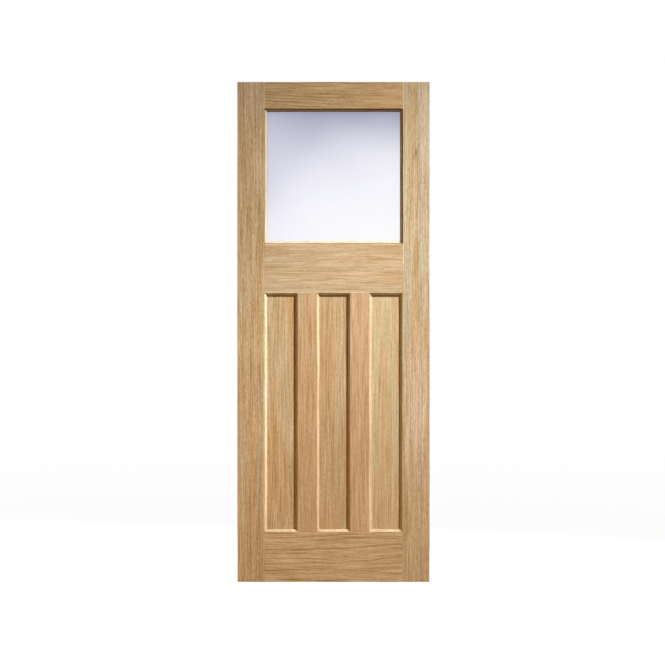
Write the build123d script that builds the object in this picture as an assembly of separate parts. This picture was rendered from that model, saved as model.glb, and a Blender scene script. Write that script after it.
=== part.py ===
from build123d import *
import os

# Door leaf, in millimetres.
# X runs across the leaf from the hinge edge, Z runs up from the bottom edge, and Y runs through
# the thickness, with the beaded face of the glass at -Y and the leaf centred on Y = 0.

# Leaf
LEAF_WIDTH = 762.0
LEAF_HEIGHT = 1981.0
LEAF_THICKNESS = 35.0
ARRIS_RADIUS = 1.5

# Face widths of the members, each up to the line where its moulding starts
STILE_FACE = 108.0
TOP_RAIL_FACE = 107.0
MIDDLE_RAIL_FACE = 197.0
BOTTOM_RAIL_FACE = 199.0
MUNTIN_FACE = 76.0
PANEL_OPENING_HEIGHT = 946.0

# Lippings: the solid oak strips glued to the edges of the veneered members
EDGE_LIPPING = 8.0
LIPPING_MARGIN = 6.5

# Bevel moulding worked on both faces of every inner edge, and the groove between the two
MOULDING_WIDTH = 9.0
MOULDING_NOSE = 1.5
TONGUE_GAP = 2.0

# Panels, loose in the grooves
PANEL_THICKNESS = 15.0
PANEL_CLEARANCE = 0.1
PANEL_EXPANSION = 2.0
PANEL_NAMES = ("left_panel", "centre_panel", "right_panel")
MUNTIN_NAMES = ("left_muntin", "right_muntin")

# Glass and its beads, in a rebate that is cut back past the line where the moulding starts
GLASS_THICKNESS = 6.0
GLASS_EDGE_CLEARANCE = 2.0
REBATE_MARGIN = 2.0
BEAD_CLEARANCE = 0.25
BEAD_SET_BACK = 5.0
BEAD_FLAT = 4.5
BEAD_BEVEL_DEPTH = 9.0

# Sizes that follow from the ones above. The groove goes back to the line where the moulding starts.
HALF = LEAF_THICKNESS / 2
GROOVE_DEPTH = MOULDING_WIDTH
TONGUE = GROOVE_DEPTH - TONGUE_GAP
GROOVE_HALF = PANEL_THICKNESS / 2 + PANEL_CLEARANCE
LIP = GROOVE_HALF + MOULDING_NOSE
FAR_STILE_LINE = LEAF_WIDTH - STILE_FACE
BOTTOM_RAIL_LINE = BOTTOM_RAIL_FACE
PANEL_TOP_LINE = BOTTOM_RAIL_LINE + PANEL_OPENING_HEIGHT
GLASS_BOTTOM_LINE = PANEL_TOP_LINE + MIDDLE_RAIL_FACE
GLASS_TOP_LINE = LEAF_HEIGHT - TOP_RAIL_FACE
GLASS_BACK = GROOVE_HALF
GLASS_FRONT = GLASS_BACK - GLASS_THICKNESS
PANEL_OPENING_WIDTH = (FAR_STILE_LINE - STILE_FACE - len(MUNTIN_NAMES) * MUNTIN_FACE) / len(PANEL_NAMES)
PANEL_PITCH = PANEL_OPENING_WIDTH + MUNTIN_FACE
REBATE_X = (STILE_FACE - REBATE_MARGIN, FAR_STILE_LINE + REBATE_MARGIN)
REBATE_Z = (GLASS_BOTTOM_LINE - REBATE_MARGIN, GLASS_TOP_LINE + REBATE_MARGIN)
CENTRE_PLANE = Plane.YZ.offset(LEAF_WIDTH / 2)

parts = {}


def block(x_range, y_range, z_range):
    """A square-edged piece between the given limits."""
    size = [high - low for low, high in (x_range, y_range, z_range)]
    middle = [(low + high) / 2 for low, high in (x_range, y_range, z_range)]
    return Pos(*middle) * Box(*size)


def upright(section, z_range):
    """A section of (x, y) points run up the leaf."""
    face = Plane.XY.offset(z_range[0]) * Polygon(*section)
    return extrude(face, z_range[1] - z_range[0], dir=(0, 0, 1))


def level(section, x_range):
    """A section of (z, y) points run across the leaf."""
    face = Plane.YZ.offset(x_range[0]) * Polygon(*[(y, z) for z, y in section])
    return extrude(face, x_range[1] - x_range[0], dir=(1, 0, 0))


def moulded_edge(line, towards, groove=GROOVE_DEPTH):
    """Points round a moulded edge, front face to back face: bevel, nose, groove, nose, bevel."""
    sight = line + towards * MOULDING_WIDTH
    floor = sight - towards * groove
    return [
        (line, -HALF),
        (sight, -LIP),
        (sight, -GROOVE_HALF),
        (floor, -GROOVE_HALF),
        (floor, GROOVE_HALF),
        (sight, GROOVE_HALF),
        (sight, LIP),
        (line, HALF),
    ]


def lipping_section(line, towards, groove=GROOVE_DEPTH):
    """A moulded lipping, from its glue line to the sight edge."""
    glue = line - towards * LIPPING_MARGIN
    return [(glue, -HALF)] + moulded_edge(line, towards, groove) + [(glue, HALF)]


# Stiles: a veneered core between a plain outer lipping and a moulded inner one
stile_core = block((EDGE_LIPPING, STILE_FACE - LIPPING_MARGIN), (-HALF, HALF), (0, LEAF_HEIGHT))
edge_lipping = block((0, EDGE_LIPPING), (-HALF, HALF), (0, LEAF_HEIGHT))
outer_arrises = edge_lipping.edges().filter_by(Axis.Z).group_by(Axis.X)[0]
edge_lipping = fillet(outer_arrises, ARRIS_RADIUS)
stile_lipping = upright(lipping_section(STILE_FACE, 1), (0, LEAF_HEIGHT))

# What the end of a rail is scribed to: the lipping with its groove less deep by the tongue gap
stile_scribe = upright(lipping_section(STILE_FACE, 1, TONGUE), (0, LEAF_HEIGHT))
stile_scribes = [stile_scribe, mirror(stile_scribe, about=CENTRE_PLANE)]

# The rebate for the glass, routed from the front through to the back wall of the groove
rebate = block(REBATE_X, (-HALF, GLASS_BACK), REBATE_Z)

parts["left_stile"] = stile_core
parts["left_stile_edge_lipping"] = edge_lipping
parts["left_stile_moulded_lipping"] = stile_lipping - rebate
for name in ("stile", "stile_edge_lipping", "stile_moulded_lipping"):
    parts["right_" + name] = mirror(parts["left_" + name], about=CENTRE_PLANE)

# Rails: veneered cores and moulded lippings, with ends scribed over the stile mouldings
RAIL_RUN = (STILE_FACE - LIPPING_MARGIN, FAR_STILE_LINE + LIPPING_MARGIN)


def rail_core(z_range):
    return block(RAIL_RUN, (-HALF, HALF), z_range) - stile_scribes


def rail_lipping(line, towards):
    return level(lipping_section(line, towards), RAIL_RUN) - stile_scribes


parts["top_rail"] = rail_core((GLASS_TOP_LINE + LIPPING_MARGIN, LEAF_HEIGHT))
parts["top_rail_lipping"] = rail_lipping(GLASS_TOP_LINE, -1) - rebate
parts["middle_rail_upper_lipping"] = rail_lipping(GLASS_BOTTOM_LINE, 1) - rebate
parts["middle_rail"] = rail_core((PANEL_TOP_LINE + LIPPING_MARGIN, GLASS_BOTTOM_LINE - LIPPING_MARGIN))
parts["middle_rail_lower_lipping"] = rail_lipping(PANEL_TOP_LINE, -1)
parts["bottom_rail_lipping"] = rail_lipping(BOTTOM_RAIL_LINE, 1)
parts["bottom_rail"] = rail_core((0, BOTTOM_RAIL_LINE - LIPPING_MARGIN))

# Muntins: moulded on both edges, with ends scribed over the rail mouldings
rail_scribes = [
    level(lipping_section(BOTTOM_RAIL_LINE, 1, TONGUE), RAIL_RUN),
    level(lipping_section(PANEL_TOP_LINE, -1, TONGUE), RAIL_RUN),
]
MUNTIN_RUN = (BOTTOM_RAIL_LINE - LIPPING_MARGIN, PANEL_TOP_LINE + LIPPING_MARGIN)
for place, name in enumerate(MUNTIN_NAMES):
    near_line = STILE_FACE + PANEL_OPENING_WIDTH + place * PANEL_PITCH
    far_line = near_line + MUNTIN_FACE
    section = moulded_edge(near_line, -1) + moulded_edge(far_line, 1)[::-1]
    parts[name] = upright(section, MUNTIN_RUN) - rail_scribes

# Panels: flat boards held by their edges in the grooves on all four sides
for place, name in enumerate(PANEL_NAMES):
    near_line = STILE_FACE + place * PANEL_PITCH
    parts[name] = block(
        (near_line + PANEL_EXPANSION, near_line + PANEL_OPENING_WIDTH - PANEL_EXPANSION),
        (-PANEL_THICKNESS / 2, PANEL_THICKNESS / 2),
        (BOTTOM_RAIL_LINE + PANEL_EXPANSION, PANEL_TOP_LINE - PANEL_EXPANSION),
    )

# Glass: one pane against the back moulding, clear of the rebate all round
parts["glass_pane"] = block(
    (REBATE_X[0] + GLASS_EDGE_CLEARANCE, REBATE_X[1] - GLASS_EDGE_CLEARANCE),
    (GLASS_FRONT, GLASS_BACK),
    (REBATE_Z[0] + GLASS_EDGE_CLEARANCE, REBATE_Z[1] - GLASS_EDGE_CLEARANCE),
)

# Glazing beads: one section run round the rebate in front of the glass, mitred at the corners
BEAD_TOP = -HALF + BEAD_SET_BACK


def bead_section(wall, towards):
    outer = wall + towards * BEAD_CLEARANCE
    crest = outer + towards * BEAD_FLAT
    sight = wall + towards * (REBATE_MARGIN + MOULDING_WIDTH)
    return [
        (outer, GLASS_FRONT),
        (outer, BEAD_TOP),
        (crest, BEAD_TOP),
        (sight, BEAD_TOP + BEAD_BEVEL_DEPTH),
        (sight, GLASS_FRONT),
    ]


def mitre_wedge(corner, across, up):
    """The half of a corner square that belongs to the upright bead."""
    reach = REBATE_MARGIN + MOULDING_WIDTH + LIPPING_MARGIN
    x, z = corner
    points = [(x, z), (x, z + up * reach), (x + across * reach, z + up * reach)]
    return extrude(Plane.XZ.offset(-HALF) * Polygon(*points), LEAF_THICKNESS, dir=(0, -1, 0))


BEAD_X = (REBATE_X[0] + BEAD_CLEARANCE, REBATE_X[1] - BEAD_CLEARANCE)
BEAD_Z = (REBATE_Z[0] + BEAD_CLEARANCE, REBATE_Z[1] - BEAD_CLEARANCE)
level_beads = {
    "bottom_bead": level(bead_section(REBATE_Z[0], 1), BEAD_X),
    "top_bead": level(bead_section(REBATE_Z[1], -1), BEAD_X),
}
upright_beads = {
    "left_bead": upright(bead_section(REBATE_X[0], 1), BEAD_Z),
    "right_bead": upright(bead_section(REBATE_X[1], -1), BEAD_Z),
}
wedges = [
    mitre_wedge((x, z), across, up)
    for x, across in zip(REBATE_X, (1, -1))
    for z, up in zip(REBATE_Z, (1, -1))
]
for name, bead in level_beads.items():
    parts[name] = bead - wedges
for name, bead in upright_beads.items():
    parts[name] = bead - [parts[other] for other in level_beads]

os.makedirs("parts", exist_ok=True)
for name, shape in parts.items():
    export_step(shape, os.path.join("parts", name + ".step"))
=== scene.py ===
import math

import bpy
from mathutils import Euler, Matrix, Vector


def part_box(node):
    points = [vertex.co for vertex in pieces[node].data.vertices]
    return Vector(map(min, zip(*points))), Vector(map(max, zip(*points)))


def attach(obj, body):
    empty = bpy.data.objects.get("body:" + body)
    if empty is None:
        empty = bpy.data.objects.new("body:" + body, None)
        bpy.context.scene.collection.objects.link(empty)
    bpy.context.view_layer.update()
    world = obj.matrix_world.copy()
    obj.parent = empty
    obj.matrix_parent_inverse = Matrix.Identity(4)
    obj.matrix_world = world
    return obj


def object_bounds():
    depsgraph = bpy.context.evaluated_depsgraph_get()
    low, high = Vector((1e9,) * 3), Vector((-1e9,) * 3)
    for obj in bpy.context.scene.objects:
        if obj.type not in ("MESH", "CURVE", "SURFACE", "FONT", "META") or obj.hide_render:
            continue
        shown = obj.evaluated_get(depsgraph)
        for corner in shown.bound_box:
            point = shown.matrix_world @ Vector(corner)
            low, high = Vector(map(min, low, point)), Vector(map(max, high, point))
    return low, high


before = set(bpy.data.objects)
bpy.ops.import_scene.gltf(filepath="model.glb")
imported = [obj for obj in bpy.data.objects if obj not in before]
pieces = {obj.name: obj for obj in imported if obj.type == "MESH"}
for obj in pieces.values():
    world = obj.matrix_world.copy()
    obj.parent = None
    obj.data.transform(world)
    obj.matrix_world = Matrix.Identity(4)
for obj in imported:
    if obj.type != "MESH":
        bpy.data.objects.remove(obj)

cad_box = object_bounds()

# Stiles. The two uprights of the leaf are cores of glued softwood staves, faced on both sides with
# straight-grained oak veneer over their whole height, which is sanded and given a matt lacquer.
MM = 0.001


def linear(hex_colour):
    """An sRGB hex colour as the linear colour that a shader takes."""
    channels = [int(hex_colour[i:i + 2], 16) / 255 for i in (1, 3, 5)]
    return [c / 12.92 if c <= 0.04045 else ((c + 0.055) / 1.055) ** 2.4 for c in channels] + [1.0]


def add(tree, kind, sockets=None, **settings):
    """Adds one node and gives its outputs. A socket's value is a constant, or the output that feeds it."""
    node = tree.nodes.new(kind)
    for name, value in settings.items():
        setattr(node, name, value)
    for key, value in (sockets or {}).items():
        if isinstance(value, bpy.types.NodeSocket):
            tree.links.new(value, node.inputs[key])
        else:
            node.inputs[key].default_value = value
    return node.outputs


def dress_in_oak(node, grain, tree_number, warm, cool, stock, show=1.0, fibre_mm=150, fleck=1.5,
                 ripple_mm=1.0, wander_mm=4, ring_mm=9, heart_mm=400, lean=0.004, figure=0.3,
                 seams=(), spots=()):
    """Gives one member its own board of matt lacquered oak, with fine fibres, flecks, rings and soft hues.

    grain is the axis that the board's length runs along, tree_number tells boards apart, and stock is what
    the board was cut as. warm and cool are the pinkish and the yellowish hue of its wood, and show is how
    strongly its grain shows. fibre_mm is the length of its fibres along the grain, which ripples and
    wanders sideways, and fleck is the weight of the short flecks between them. The rings are ring_mm wide,
    lie around a heart that is heart_mm to the side of the board's middle, climb by lean and show as
    strongly as figure. seams are (axis, place, width in mm, strength), the planes where the board meets a
    neighbour, drawn as dark glue lines, and on the beads as lines of painted shade. spots are (x, z, radius
    in mm, strength, colour) on the leaf.
    """
    # Matt lacquered oak: straw-coloured wood under a thin film that follows its open pores. The eye gets
    # fine dark dashes, soft changes of hue and a faint broad sheen, with nothing mirrored in it.
    material = bpy.data.materials.new(f"matt_lacquered_oak_{stock}.{node}")
    material.use_nodes = True
    tree = material.node_tree
    shader = tree.nodes["Principled BSDF"]
    between_trees = 7.3
    seed = between_trees * tree_number

    # The board's own axes: X across its face, Y through its thickness, Z along the grain
    turn = Euler((0, math.pi / 2 if grain == "X" else 0, 0))
    low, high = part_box(node)
    to_middle = turn.to_matrix() @ ((low + high) / 2)
    coordinates = add(tree, "ShaderNodeTexCoord")
    leaf_place = coordinates["Object"]
    board_place = add(
        tree, "ShaderNodeMapping", {"Vector": leaf_place, "Rotation": turn, "Location": -to_middle}
    )[0]

    # The grain bends slowly along the board and ripples a little, both sideways. A bend is given by its
    # size across and along the grain, and by how far it pushes the grain aside.
    flow = board_place
    bends = ((160, 700, wander_mm), (26, 70, ripple_mm))
    for layer, (across_mm, along_mm, push_mm) in enumerate(bends):
        cell = Vector((across_mm, across_mm, along_mm)) * MM
        spread = add(tree, "ShaderNodeVectorMath", {0: board_place, 1: cell}, operation="DIVIDE")[0]
        noise = {"Vector": spread, "W": seed + layer, "Scale": 1.0, "Detail": 1.0}
        wave = add(tree, "ShaderNodeTexNoise", noise, noise_dimensions="4D")["Fac"]
        reach_mm = 2 * push_mm  # the noise stays in the middle half of its range
        push = {0: wave, 3: -reach_mm * MM, 4: reach_mm * MM}
        push = add(tree, "ShaderNodeMapRange", push, clamp=False)[0]
        sideways = add(tree, "ShaderNodeCombineXYZ", {"X": push})[0]
        flow = add(tree, "ShaderNodeVectorMath", {0: flow, 1: sideways}, operation="ADD")[0]

    # The marks of the figure, by their size across and along the grain. Real pores are 0.3 mm wide and the
    # fibres and flecks between them under 1 mm, drawn at 1.2 mm and 1.8 mm so that they show across a room.
    marks = {}
    mark_sizes = (("fleck", 1.8, 14), ("fibre", 1.8, fibre_mm), ("streak", 9, 420),
                  ("fade", 30, 420), ("hue", 45, 700), ("pore", 1.2, 16))
    for layer, (name, across_mm, along_mm) in enumerate(mark_sizes, start=len(bends)):
        cell = Vector((across_mm, across_mm, along_mm)) * MM
        spread = add(tree, "ShaderNodeVectorMath", {0: flow, 1: cell}, operation="DIVIDE")[0]
        noise = {"Vector": spread, "W": seed + layer, "Scale": 1.0, "Detail": 1.0}
        marks[name] = add(tree, "ShaderNodeTexNoise", noise, noise_dimensions="4D")["Fac"]

    # Growth rings. Each starts with a dark line of large pores and pales towards the next. Some rings are
    # stronger than others, and the lines fade in and out along the board.
    heart_depth_mm = 40
    line_sharpness = 5.0
    faded_below, full_above = 0.35, 0.6
    heart = (heart_mm * MM, -heart_depth_mm * MM, 0)
    from_heart = add(tree, "ShaderNodeVectorMath", {0: flow, 1: heart}, operation="SUBTRACT")[0]
    from_heart = add(tree, "ShaderNodeVectorMath", {0: from_heart, 1: (1, 1, 0)}, operation="MULTIPLY")[0]
    radius = add(tree, "ShaderNodeVectorMath", {0: from_heart}, operation="LENGTH")["Value"]
    along = add(tree, "ShaderNodeSeparateXYZ", {0: flow})["Z"]
    radius = add(tree, "ShaderNodeMath", {0: along, 1: lean, 2: radius}, operation="MULTIPLY_ADD")[0]
    rings = add(tree, "ShaderNodeMath", {0: radius, 1: ring_mm * MM}, operation="DIVIDE")[0]
    age = add(tree, "ShaderNodeMath", {0: rings}, operation="FRACT")[0]
    young = add(tree, "ShaderNodeMath", {0: 1.0, 1: age}, operation="SUBTRACT")[0]
    ring_line = add(tree, "ShaderNodeMath", {0: young, 1: line_sharpness}, operation="POWER")[0]
    ring_number = add(tree, "ShaderNodeMath", {0: rings}, operation="FLOOR")[0]
    ring_weight = add(tree, "ShaderNodeTexWhiteNoise", {"W": ring_number}, noise_dimensions="1D")["Value"]
    ring_line = add(tree, "ShaderNodeMath", {0: ring_line, 1: ring_weight}, operation="MULTIPLY")[0]
    ring_fade = add(tree, "ShaderNodeMapRange", {0: marks["fade"], 1: faded_below, 2: full_above})[0]
    ring_line = add(tree, "ShaderNodeMath", {0: ring_line, 1: ring_fade}, operation="MULTIPLY")[0]

    # Tone is about 0 on average, less where the wood is paler and more where it is deeper
    deepest_tone = 0.9
    tone = add(tree, "ShaderNodeMath", {0: ring_line, 1: figure}, operation="MULTIPLY")[0]
    for name, weight in (("fleck", fleck), ("fibre", 3.3), ("streak", 0.35), ("fade", 0.5)):
        swing = {0: marks[name], 3: -show * weight / 2, 4: show * weight / 2}
        swing = add(tree, "ShaderNodeMapRange", swing, clamp=False)[0]
        tone = add(tree, "ShaderNodeMath", {0: tone, 1: swing}, operation="ADD")[0]
    tone = add(tree, "ShaderNodeMath", {0: tone, 1: deepest_tone}, operation="MINIMUM")[0]

    # Two hues drift into each other over the board. The warmer one is painted more towards the floor and
    # the
    # cooler one higher up, as painted light: warmer light low down and cooler light above.
    warm_below, cool_above = 0.38, 0.62
    painted_light_swing = 0.4
    hue = add(tree, "ShaderNodeMapRange", {0: marks["hue"], 1: warm_below, 2: cool_above})[0]
    height = add(tree, "ShaderNodeSeparateXYZ", {0: leaf_place})["Z"]
    painted_light_warmth = {0: height, 1: cad_box[0][2], 2: cad_box[1][2], 3: -painted_light_swing, 4: painted_light_swing}
    painted_light_warmth = add(tree, "ShaderNodeMapRange", painted_light_warmth)[0]
    hue = add(tree, "ShaderNodeMath", {0: hue, 1: painted_light_warmth}, operation="ADD", use_clamp=True)[0]
    wood = add(tree, "ShaderNodeMix", {0: hue, 6: linear(warm), 7: linear(cool)}, data_type="RGBA")[2]

    # Bevels and edges are painted paler than the face, a painted highlight for the lit bevels, laid on all
    # alike
    bevel_painted_highlight = "#CCCBB6"
    face_from, bevel_from, highlight_share = 0.95, 0.8, 0.25
    squareness = add(tree, "ShaderNodeSeparateXYZ", {0: coordinates["Normal"]})["Y"]
    squareness = add(tree, "ShaderNodeMath", {0: squareness}, operation="ABSOLUTE")[0]
    painted_highlight_mask = {0: squareness, 1: face_from, 2: bevel_from, 4: highlight_share}
    painted_highlight_mask = add(tree, "ShaderNodeMapRange", painted_highlight_mask)[0]
    wood = add(tree, "ShaderNodeMix", {0: painted_highlight_mask, 6: wood, 7: linear(bevel_painted_highlight)}, data_type="RGBA")[2]

    # Spots drawn out along the grain of an upright board: dark pin knots, and pale stretches of sapwood
    width_to_length = 0.22
    squeeze = Vector((1, 0, width_to_length))
    for x, z, radius_mm, spot_strength, colour in spots:
        spot = add(tree, "ShaderNodeVectorMath", {0: leaf_place, 1: squeeze}, operation="MULTIPLY")[0]
        centre = squeeze * Vector((x, 0, z))
        spot = add(tree, "ShaderNodeVectorMath", {0: spot, 1: centre}, operation="DISTANCE")["Value"]
        spot = {0: spot, 2: radius_mm * MM, 3: spot_strength, 4: 0.0}
        spot = add(tree, "ShaderNodeMapRange", spot, interpolation_type="SMOOTHSTEP")[0]
        wood = add(tree, "ShaderNodeMix", {0: spot, 6: wood, 7: linear(colour)}, data_type="RGBA")[2]

    # The grain deepens the wood, and the pores are dark dashes in it
    grain_tint = "#C6AC6C"
    pore_brown = "#7A5A34"
    pore_from, pore_full, pore_share = 0.56, 0.72, 0.35
    depth = {0: tone, 6: linear("#FFFFFF"), 7: linear(grain_tint)}
    depth = add(tree, "ShaderNodeMix", depth, data_type="RGBA", clamp_factor=False)[2]
    wood = {0: 1.0, 6: wood, 7: depth}
    wood = add(tree, "ShaderNodeMix", wood, data_type="RGBA", blend_type="MULTIPLY")[2]
    pores = {0: marks["pore"], 1: pore_from, 2: pore_full, 4: pore_share}
    pores = add(tree, "ShaderNodeMapRange", pores)[0]
    wood = add(tree, "ShaderNodeMix", {0: pores, 6: wood, 7: linear(pore_brown)}, data_type="RGBA")[2]

    # Dark lines along the seams, full at the seam and fading outwards. A glue line is 0.2 mm wide in the
    # real door and is drawn wider, to show. On the beads the same lines are painted shade in the crevices.
    joint_and_shade_brown = "#33200E"
    full_width = 0.2
    for axis, seam, width_mm, joint_and_shade_strength in seams:
        gap = add(tree, "ShaderNodeSeparateXYZ", {0: leaf_place})[axis]
        gap = add(tree, "ShaderNodeMath", {0: gap, 1: seam}, operation="SUBTRACT")[0]
        gap = add(tree, "ShaderNodeMath", {0: gap}, operation="ABSOLUTE")[0]
        gap = {0: gap, 1: full_width * width_mm * MM, 2: width_mm * MM, 3: joint_and_shade_strength, 4: 0.0}
        gap = add(tree, "ShaderNodeMapRange", gap)[0]
        wood = add(tree, "ShaderNodeMix", {0: gap, 6: wood, 7: linear(joint_and_shade_brown)}, data_type="RGBA")[2]

    # The lacquer is thin and matt, and the open pores dull it further
    film_roughness, pore_roughness = 0.5, 0.7
    fibre_relief = 0.3
    relief_mm = 0.15
    tree.links.new(wood, shader.inputs["Base Color"])
    rough = {0: pores, 2: pore_share, 3: film_roughness, 4: pore_roughness}
    rough = add(tree, "ShaderNodeMapRange", rough)[0]
    tree.links.new(rough, shader.inputs["Roughness"])
    relief = add(tree, "ShaderNodeMath", {0: tone, 1: -fibre_relief, 2: 1.0}, operation="MULTIPLY_ADD")[0]
    relief = add(tree, "ShaderNodeMath", {0: relief, 1: pores}, operation="SUBTRACT")[0]
    bump = add(tree, "ShaderNodeBump", {"Strength": 0.5, "Distance": relief_mm * MM, "Height": relief})[0]
    tree.links.new(bump, shader.inputs["Normal"])
    shader.inputs["IOR"].default_value = 1.5
    shader.inputs["Specular IOR Level"].default_value = 0.15
    shader.inputs["Sheen Weight"].default_value = 0.3
    shader.inputs["Sheen Roughness"].default_value = 0.5
    pieces[node].data.materials.clear()
    pieces[node].data.materials.append(material)


sapwood = "#DAC2AA"
pin_knot = "#4A2C12"
# The colours of each board below were fitted to the leaf as it was lit, so part of the fall-off of the
# light is painted into them as lighter and darker boards, such as the right stile paler than the left.
dress_in_oak("left_stile", "Z", 1, "#BA966A", "#BA9F7A", "veneer", fleck=2.2, heart_mm=420, figure=1.0,
             spots=[(0.054, 1.95, 70, 0.4, sapwood)])
dress_in_oak("right_stile", "Z", 2, "#C2A379", "#BFAC8E", "veneer", show=0.85, fleck=2.2, wander_mm=7,
             heart_mm=-380, lean=-0.004, figure=0.8,
             spots=[(0.708, 0.68, 95, 0.62, sapwood), (0.708, 1.702, 5.5, 0.85, pin_knot)])

# Edge lippings. A strip of solid oak is glued to the outer edge of each stile, so that the leaf can be
# planed to fit its lining and the hinges and latch are let into solid wood.
dress_in_oak("left_stile_edge_lipping", "Z", 3, "#BC9971", "#B89E79", "lipping")
dress_in_oak("right_stile_edge_lipping", "Z", 4, "#C5A57C", "#C3AE8F", "lipping")

# Moulded lippings of the stiles. The inner edge of each stile is a strip of solid oak, spindle moulded
# to a bevel on both faces with a groove between. It is a little paler than the veneer beside it.
glue_mm = 1.4
glue_strength = 0.4
left_glue, right_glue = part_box("left_stile")[1].x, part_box("right_stile")[0].x
dress_in_oak("left_stile_moulded_lipping", "Z", 5, "#C8A67D", "#C6AA81", "lipping", figure=0.2,
             seams=[("X", left_glue, glue_mm, glue_strength)])
dress_in_oak("right_stile_moulded_lipping", "Z", 6, "#CDAF87", "#CAB38D", "lipping", figure=0.2,
             seams=[("X", right_glue, glue_mm, glue_strength)])

# Rails. Three cross members with crown-cut veneer that runs from stile to stile. Their ends are scribed
# to fit over the moulding of the stiles, and a tongue on each end is glued into the stile's groove.
rail_end_strength = 0.3
rail_ends = [("X", end.x, glue_mm, rail_end_strength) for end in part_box("middle_rail")]
dress_in_oak("top_rail", "X", 7, "#BA9567", "#B79A70", "veneer", fibre_mm=110, ripple_mm=1.5,
             wander_mm=14, ring_mm=14, heart_mm=70, lean=0.03, figure=2.0, seams=rail_ends)
dress_in_oak("middle_rail", "X", 8, "#C2A079", "#BEA683", "veneer", show=0.8, fibre_mm=110, fleck=1.2,
             ripple_mm=3.5, wander_mm=10, ring_mm=10, heart_mm=130, lean=0.02, figure=0.9, seams=rail_ends)
dress_in_oak("bottom_rail", "X", 9, "#C6A57B", "#C2AB84", "veneer", fibre_mm=110, ripple_mm=1.5,
             wander_mm=16, ring_mm=17, heart_mm=-60, lean=0.03, figure=2.0, seams=rail_ends)

# Moulded lippings of the rails. Solid oak strips like those of the stiles, glued along the edges that
# face the glass and the panels.
for tree_number, (node, warm, cool) in enumerate((
    ("top_rail_lipping", "#BB966A", "#B79A72"),
    ("middle_rail_upper_lipping", "#C7A780", "#C3AD88"),
    ("middle_rail_lower_lipping", "#CBAB83", "#C7B18B"),
    ("bottom_rail_lipping", "#C8A47A", "#C4AA84"),
), start=10):
    dress_in_oak(node, "X", tree_number, warm, cool, "lipping", fibre_mm=90, seams=rail_ends)

# Muntins. Two uprights of solid oak between the panels, moulded on both edges and scribed at their ends
# over the mouldings of the rails. Their wood is a little pinker than the veneers.
muntin_ends = [("Z", end.z, glue_mm, glue_strength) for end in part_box("left_muntin")]
dress_in_oak("left_muntin", "Z", 14, "#C19B71", "#C2A580", "solid", show=0.85, seams=muntin_ends)
dress_in_oak("right_muntin", "Z", 15, "#C59B71", "#C6A580", "solid", show=0.85, seams=muntin_ends)

# Panels. Three flat boards, veneered on both faces with upright grain. They lie loose and unglued in the
# grooves of the members around them, so that they can swell and shrink.
dress_in_oak("left_panel", "Z", 16, "#C29A6A", "#C1A57F", "veneer", ripple_mm=1.5, wander_mm=12,
             heart_mm=20, lean=0.02, figure=0.8)
dress_in_oak("centre_panel", "Z", 17, "#C09B6F", "#C1A581", "veneer", wander_mm=6, heart_mm=260, figure=0.9)
dress_in_oak("right_panel", "Z", 18, "#CAAA7F", "#CBB690", "veneer", show=0.75, wander_mm=6, heart_mm=-260)

# Glass. One pane of toughened glass, etched with acid and laid in a rebate against the back moulding.
# It lets light through but blurs what is behind, so the eye gets an even, milky brightness. The grain of
# the etch is under 0.1 mm in real glass and is drawn at 1.5 mm, so that it shows up close.
etch_mm = 1.5
etch_depth_mm = 0.02
least_rough, most_rough = 0.42, 0.5
glass = bpy.data.materials.new("acid_etched_toughened_glass")
glass.use_nodes = True
tree = glass.node_tree
etch_place = add(tree, "ShaderNodeTexCoord")["Object"]
etch = {"Vector": etch_place, "Scale": 1 / (etch_mm * MM), "Detail": 2.0}
etch = add(tree, "ShaderNodeTexNoise", etch)["Fac"]
etch_bump = {"Strength": 0.3, "Distance": etch_depth_mm * MM, "Height": etch}
etch_bump = add(tree, "ShaderNodeBump", etch_bump)[0]
etch_rough = add(tree, "ShaderNodeMapRange", {0: etch, 3: least_rough, 4: most_rough})[0]
shader = tree.nodes["Principled BSDF"]
shader.inputs["Base Color"].default_value = linear("#EDF0F2")
shader.inputs["Transmission Weight"].default_value = 1.0
shader.inputs["IOR"].default_value = 1.52
tree.links.new(etch_rough, shader.inputs["Roughness"])
tree.links.new(etch_bump, shader.inputs["Normal"])
pieces["glass_pane"].data.materials.clear()
pieces["glass_pane"].data.materials.append(glass)

# Glazing beads. Four strips of solid oak, bevelled, mitred where they meet and set a little below the face
# of the leaf, hold the glass against the back moulding. A line of painted shade runs along both of their
# edges, in the crevices beside the leaf and against the glass, twice as dark on the top and right beads.
crevice_mm = 4.5
crevice_painted_shade = 0.95
glass_edge_mm = 2.5
glass_edge_painted_shade = 0.7
for tree_number, (node, grain, axis, side, painted_shadow_weight) in enumerate((
    ("top_bead", "X", "Z", 1, 1.0),
    ("bottom_bead", "X", "Z", 0, 0.5),
    ("left_bead", "Z", "X", 0, 0.5),
    ("right_bead", "Z", "X", 1, 1.0),
), start=19):
    outer_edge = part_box(node)[side]["XYZ".index(axis)]
    glass_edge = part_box(node)[1 - side]["XYZ".index(axis)]
    dress_in_oak(node, grain, tree_number, "#C6AC86", "#C4B08C", "bead", figure=0.2,
                 seams=[(axis, outer_edge, crevice_mm, crevice_painted_shade * painted_shadow_weight),
                        (axis, glass_edge, glass_edge_mm, glass_edge_painted_shade * painted_shadow_weight)])

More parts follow.
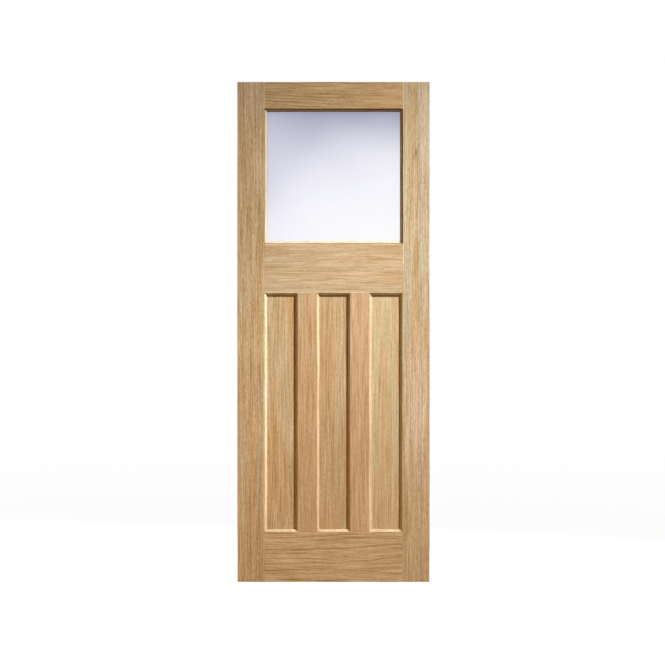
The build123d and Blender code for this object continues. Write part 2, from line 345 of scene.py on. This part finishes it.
# Bead pins. Each bead is fixed with a few fine steel pins, driven through its bevel into the rebate,
# punched below the surface and stopped with a brown filler that leaves small round dots. The filler is
# dull and a shade darker than the oak. Its grit is under 0.1 mm, drawn at 0.6 mm so that it shows up close.
grit_mm = 0.6
filler = bpy.data.materials.new("oak_coloured_stopping")
filler.use_nodes = True
tree = filler.node_tree
dot_place = add(tree, "ShaderNodeTexCoord")["Object"]
grit = add(tree, "ShaderNodeTexNoise", {"Vector": dot_place, "Scale": 1 / (grit_mm * MM)})["Fac"]
stopping = {0: grit, 6: linear("#A98355"), 7: linear("#8E6A40")}
stopping = add(tree, "ShaderNodeMix", stopping, data_type="RGBA")[2]
shader = tree.nodes["Principled BSDF"]
tree.links.new(stopping, shader.inputs["Base Color"])
shader.inputs["Roughness"].default_value = 0.75

# A line down the middle of each bead's bevel, clear of its mitres, and the way the bevel faces
bead_flat = 4.5 * MM
bevel_depth = 9 * MM
corner_margin = 60 * MM
line_ends, bevel_facings = [], []
bead_sides = (("top_bead", 2, -1), ("bottom_bead", 2, 1), ("left_bead", 0, 1), ("right_bead", 0, -1))
for node, axis, inward in bead_sides:
    low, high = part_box(node)
    length_axis = 2 - axis
    outer, sight = (low, high) if inward > 0 else (high, low)
    crest = outer[axis] + inward * bead_flat
    for end, step in ((low, 1), (high, -1)):
        point = Vector((0, low.y + bevel_depth / 2, 0))
        point[axis] = (crest + sight[axis]) / 2
        point[length_axis] = end[length_axis] + step * corner_margin
        outwards = Vector((0, -abs(sight[axis] - crest), 0))
        outwards[axis] = inward * bevel_depth
        line_ends.append(point)
        bevel_facings.append(outwards.normalized())
mesh = bpy.data.meshes.new("bead_pins")
mesh.from_pydata(line_ends, [(i, i + 1) for i in range(0, len(line_ends), 2)], [])
facing = mesh.attributes.new("facing", "FLOAT_VECTOR", "POINT")
facing.data.foreach_set("vector", [part for outwards in bevel_facings for part in outwards])
pins = bpy.data.objects.new("bead_pins", mesh)
bpy.context.scene.collection.objects.link(pins)

# A row of dots along each line
tree = bpy.data.node_groups.new("bead_pins", "GeometryNodeTree")
tree.interface.new_socket("Geometry", in_out="OUTPUT", socket_type="NodeSocketGeometry")
tree.interface.new_socket("Bead lines", in_out="INPUT", socket_type="NodeSocketGeometry")
modifier = pins.modifiers.new("bead_pins", "NODES")
modifier.node_group = tree
for name, kind, value in (
    ("Pins in a bead", "NodeSocketInt", 4),
    ("Dot radius", "NodeSocketFloat", 1.0 * MM),
    ("Dot height", "NodeSocketFloat", 0.2 * MM),
):
    socket = tree.interface.new_socket(name, in_out="INPUT", socket_type=kind)
    modifier[socket.identifier] = value
given = add(tree, "NodeGroupInput")
rows = add(tree, "GeometryNodeMeshToCurve", {"Mesh": given["Bead lines"]})[0]
rows = add(tree, "GeometryNodeResampleCurve", {"Curve": rows, "Count": given["Pins in a bead"]})[0]
row_facing = add(tree, "GeometryNodeInputNamedAttribute", {"Name": "facing"}, data_type="FLOAT_VECTOR")
tilt = {"Vector": row_facing["Attribute"]}
tilt = add(tree, "FunctionNodeAlignRotationToVector", tilt, axis="Z")[0]
dot = {"Vertices": 12, "Radius": given["Dot radius"], "Depth": given["Dot height"]}
dot = add(tree, "GeometryNodeMeshCylinder", dot)["Mesh"]
dots = add(tree, "GeometryNodeInstanceOnPoints", {"Points": rows, "Instance": dot, "Rotation": tilt})[0]
dots = add(tree, "GeometryNodeRealizeInstances", {"Geometry": dots})[0]
dots = add(tree, "GeometryNodeSetMaterial", {"Geometry": dots, "Material": filler})[0]
add(tree, "NodeGroupOutput", {0: dots})
pins.data = bpy.data.meshes.new_from_object(pins.evaluated_get(bpy.context.evaluated_depsgraph_get()))
pins.modifiers.remove(modifier)
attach(pins, "root")

# Studio. A white room with a pale floor and a card behind the pane for the glass to show. A lamp rakes
# across the front from the upper right, and a narrow cool one at the same place lifts the left edge at mid
# height. A weak warm reflector stands low on the left, and a lamp high up behind the leaf lights its back.
scene = bpy.context.scene
scene.view_settings.view_transform = "Standard"
low, high = cad_box
middle = (Vector(low) + Vector(high)) / 2


def shown_to_the_eye(tree):
    """1 on a ray from the eye, direct or by gloss or glass, that met nothing matt, and 0 on others."""
    ray = add(tree, "ShaderNodeLightPath")
    seen = {0: ray["Is Camera Ray"], 1: ray["Is Glossy Ray"]}
    seen = add(tree, "ShaderNodeMath", seen, operation="MAXIMUM")[0]
    seen = add(tree, "ShaderNodeMath", {0: seen, 1: ray["Is Transmission Ray"]}, operation="MAXIMUM")[0]
    direct = add(tree, "ShaderNodeMath", {0: ray["Diffuse Depth"], 1: 0.5}, operation="LESS_THAN")[0]
    return add(tree, "ShaderNodeMath", {0: seen, 1: direct}, operation="MULTIPLY")[0]


# The room is white to the eye and gives the leaf only a weak warm fill
world = bpy.data.worlds.new("studio")
world.use_nodes = True
scene.world = world
tree = world.node_tree
tree.nodes.clear()
fill = add(tree, "ShaderNodeBackground", {"Color": linear("#FFD596"), "Strength": 0.03})[0]
white = add(tree, "ShaderNodeBackground", {"Color": linear("#FFFFFF"), "Strength": 1.0})[0]
room = add(tree, "ShaderNodeMixShader", {0: shown_to_the_eye(tree), 1: fill, 2: white})[0]
add(tree, "ShaderNodeOutputWorld", {"Surface": room})


def stage_sheet(name, corners):
    """A flat sheet that isn't part of the leaf, with an empty material tree for its paint."""
    mesh = bpy.data.meshes.new(name)
    mesh.from_pydata(corners, [], [(0, 1, 2, 3)])
    sheet = bpy.data.objects.new(name, mesh)
    scene.collection.objects.link(sheet)
    paint = bpy.data.materials.new(name + "_paint")
    paint.use_nodes = True
    paint.node_tree.nodes.clear()
    mesh.materials.append(paint)
    return sheet, paint.node_tree


# The floor glows white to the eye, a little less near the leaf so that its shadow shows. To other light it
# is a matt, warm sheet that is lit by the lamps.
far = 300.0
near_leaf, far_off = 2.0, 9.0
near_glow = 0.96
under = low[2] - 0.5 * MM
floor_corners = [(-far, -far, under), (far, -far, under), (far, far, under), (-far, far, under)]
tree = stage_sheet("floor", floor_corners)[1]
floor_place = add(tree, "ShaderNodeTexCoord")["Object"]
away = add(tree, "ShaderNodeVectorMath", {0: floor_place}, operation="LENGTH")["Value"]
level = add(tree, "ShaderNodeMapRange", {0: away, 1: near_leaf, 2: far_off, 3: near_glow, 4: 1.0})[0]
glow = add(tree, "ShaderNodeEmission", {"Color": linear("#FFFFFF"), "Strength": level})[0]
shade = add(tree, "ShaderNodeBsdfDiffuse", {"Color": linear("#8C8C8C")})[0]
pale = add(tree, "ShaderNodeAddShader", {0: shade, 1: glow})[0]
warm_matt = add(tree, "ShaderNodeBsdfDiffuse", {"Color": linear("#8C7048")})[0]
ground = add(tree, "ShaderNodeMixShader", {0: shown_to_the_eye(tree), 1: warm_matt, 2: pale})[0]
add(tree, "ShaderNodeOutputMaterial", {"Surface": ground})

# The card is seen only through the glass. It is clouded, dim and bluish at the top and brightest at the
# lower right, where it is brighter than white to make up for what the pane holds back.
glass_low, glass_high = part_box("glass_pane")
card_gap = 0.4
card_y = high[1] + card_gap
card_left, card_right, card_foot, card_head = -0.8, 1.6, 0.6, 2.8
card_corners = [(card_left, card_y, card_foot), (card_right, card_y, card_foot),
                (card_right, card_y, card_head), (card_left, card_y, card_head)]
card, tree = stage_sheet("card", card_corners)
for kind in ("camera", "diffuse", "glossy", "shadow", "volume_scatter"):
    setattr(card, "visible_" + kind, False)
fade_margin = 0.05
left_share, right_share = 0.57, 1.46
cloud_size = 0.22
cloud_swing = 0.35
card_place = add(tree, "ShaderNodeTexCoord")["Object"]
card_axes = add(tree, "ShaderNodeSeparateXYZ", {0: card_place})
down = {0: card_axes["Z"], 1: glass_high.z + fade_margin, 2: glass_low.z - fade_margin}
down = add(tree, "ShaderNodeMapRange", down)[0]
right = {0: card_axes["X"], 1: glass_low.x, 2: glass_high.x, 3: left_share, 4: right_share}
right = add(tree, "ShaderNodeMapRange", right)[0]
brightness = add(tree, "ShaderNodeMath", {0: down, 1: right}, operation="MULTIPLY")[0]
cloud = {"Vector": card_place, "Scale": 1 / cloud_size, "Detail": 1.0}
cloud = add(tree, "ShaderNodeTexNoise", cloud)["Fac"]
cloud = add(tree, "ShaderNodeMapRange", {0: cloud, 3: -cloud_swing, 4: cloud_swing}, clamp=False)[0]
brightness = add(tree, "ShaderNodeMath", {0: brightness, 1: cloud}, operation="ADD")[0]
shades = add(tree, "ShaderNodeValToRGB", {0: brightness})[0]
ramp = shades.node.color_ramp.elements
ramp[0].color = linear("#8F8DAC")
ramp[1].color = (1.14, 1.11, 1.09, 1.0)
ramp.new(0.37).color = (1.01, 0.97, 1.08, 1.0)
direct = {0: add(tree, "ShaderNodeLightPath")["Diffuse Depth"], 1: 0.5}
direct = add(tree, "ShaderNodeMath", direct, operation="LESS_THAN")[0]
glow = add(tree, "ShaderNodeEmission", {"Color": shades, "Strength": direct})[0]
add(tree, "ShaderNodeOutputMaterial", {"Surface": glow})


def lamp(name, watts, colour, at, aim, cone, size):
    """A spot lamp that points at a place, with a cone in degrees and a soft source of the given size."""
    data = bpy.data.lights.new(name, "SPOT")
    data.energy = watts
    data.color = linear(colour)[:3]
    data.shadow_soft_size = size
    data.spot_size = math.radians(cone)
    data.spot_blend = 1.0
    spot = bpy.data.objects.new(name, data)
    scene.collection.objects.link(spot)
    spot.location = at
    spot.rotation_euler = (Vector(aim) - Vector(at)).to_track_quat("-Z", "Y").to_euler()


# The key lamp is aimed past the lower left of the leaf, so that the middle of its beam makes up for the
# distance there
key_place = (2.97, -1.64, 3.65)
lamp("key", 1603, "#FFFFFF", at=key_place, aim=(-3.15, 0.0, -2.68), cone=59.2, size=0.12)
lamp("key_middle", 412, "#C7EAFF", at=key_place, aim=(0.0, 0.0, 0.81), cone=13, size=0.12)
lamp("reflector", 105, "#FFCF7B", at=(-3.2, -1.1, 1.2), aim=(0.4, 0.0, 1.0), cone=60, size=1.0)
lamp("back", 3900, "#FFFFFF", at=(-3.4, 4.6, 6.2), aim=(0.4, 0.0, 0.4), cone=30, size=0.3)

# The camera stands square in front of the leaf, a touch left of and below its middle
camera_distance = 7.318
camera_left_mm = 4.2
camera_down_mm = 2
camera_data = bpy.data.cameras.new("camera")
camera_data.lens = 100
camera_data.sensor_width = 36
camera = bpy.data.objects.new("camera", camera_data)
scene.collection.objects.link(camera)
camera.location = (
    middle.x - camera_left_mm * MM, low[1] - camera_distance, middle.z - camera_down_mm * MM
)
camera.rotation_euler = (math.pi / 2, 0, 0)
scene.camera = camera
